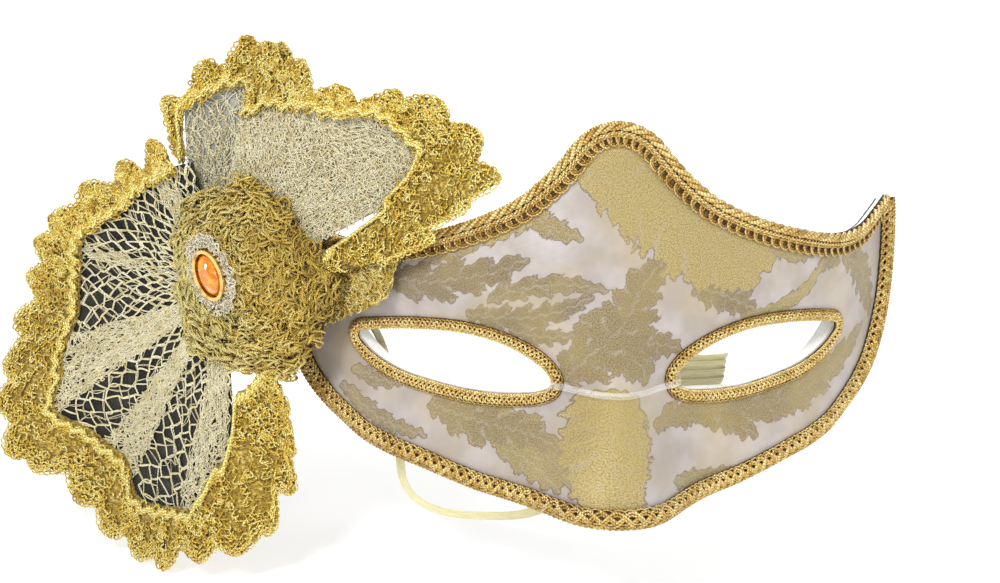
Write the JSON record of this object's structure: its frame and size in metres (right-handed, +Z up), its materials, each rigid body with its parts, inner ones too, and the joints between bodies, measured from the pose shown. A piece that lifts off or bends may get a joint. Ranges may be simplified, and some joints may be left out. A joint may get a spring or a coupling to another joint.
{
  "type": "venetian masquerade half mask",
  "caption": "Brocade-covered half mask edged with gold braid, with a gathered net and lace fan, a rosette and an amber gem on its left temple, and tie ribbons.",
  "frame": {"origin": "on the lining behind the bridge of the nose, where the mask seats on the wearer", "axes": "+Z up as worn, +Y towards the wearer so that the mask faces -Y, +X to the viewer's right"},
  "size_m": [0.2637, 0.1025, 0.1564],
  "materials": {
    "white_plastic": "vacuum-formed white plastic, satin gloss",
    "black_flock": "black flocked lining, matt",
    "brocade": "ivory and silver satin ground with taupe and gold woven leaves",
    "gold_braid": "gold metallic gimp braid",
    "gold_lace": "bright yellow gold metallic lace",
    "bronze_lace": "darker antique gold metallic lace",
    "gold_net": "cream gold net of fine metallic thread",
    "pale_organza": "pale champagne organza",
    "dark_organza": "charcoal organza",
    "cream_lace": "cream lace",
    "gold_metal": "thin stamped gilt metal",
    "amber_glass": "faceted amber orange glass",
    "felt": "black craft felt",
    "satin_ribbon": "pale green-gold satin ribbon",
    "clear_plastic": "clear soft plastic"
  },
  "bodies": {
    "root": {"mask_shell": "white_plastic", "shell_lining": "black_flock", "brocade_cover": "brocade", "top_edge_braid": "gold_braid", "lower_edge_braid": "gold_braid", "left_eye_braid": "gold_braid", "right_eye_braid": "gold_braid", "temple_lace": "bronze_lace", "upper_fan_underlay": "pale_organza", "upper_fan_net": "gold_net", "upper_fan_lace": "gold_lace", "crest_fan_underlay": "dark_organza", "crest_fan_net": "gold_net", "crest_fan_lace": "gold_lace", "lower_fan_underlay": "dark_organza", "lower_fan_net": "gold_net", "lower_fan_lace": "gold_lace", "rosette_lace": "bronze_lace", "gem_collar": "cream_lace", "gem_bezel": "gold_metal", "gem_cabochon": "amber_glass", "felt_pad": "felt", "gather_knot": "pale_organza", "left_patch": "felt", "right_patch": "felt", "left_ribbon": "satin_ribbon", "right_ribbon": "satin_ribbon", "ribbon_hank": "satin_ribbon", "bridge_band": "clear_plastic", "hank_tie": "clear_plastic"}
  },
  "joints": []
}
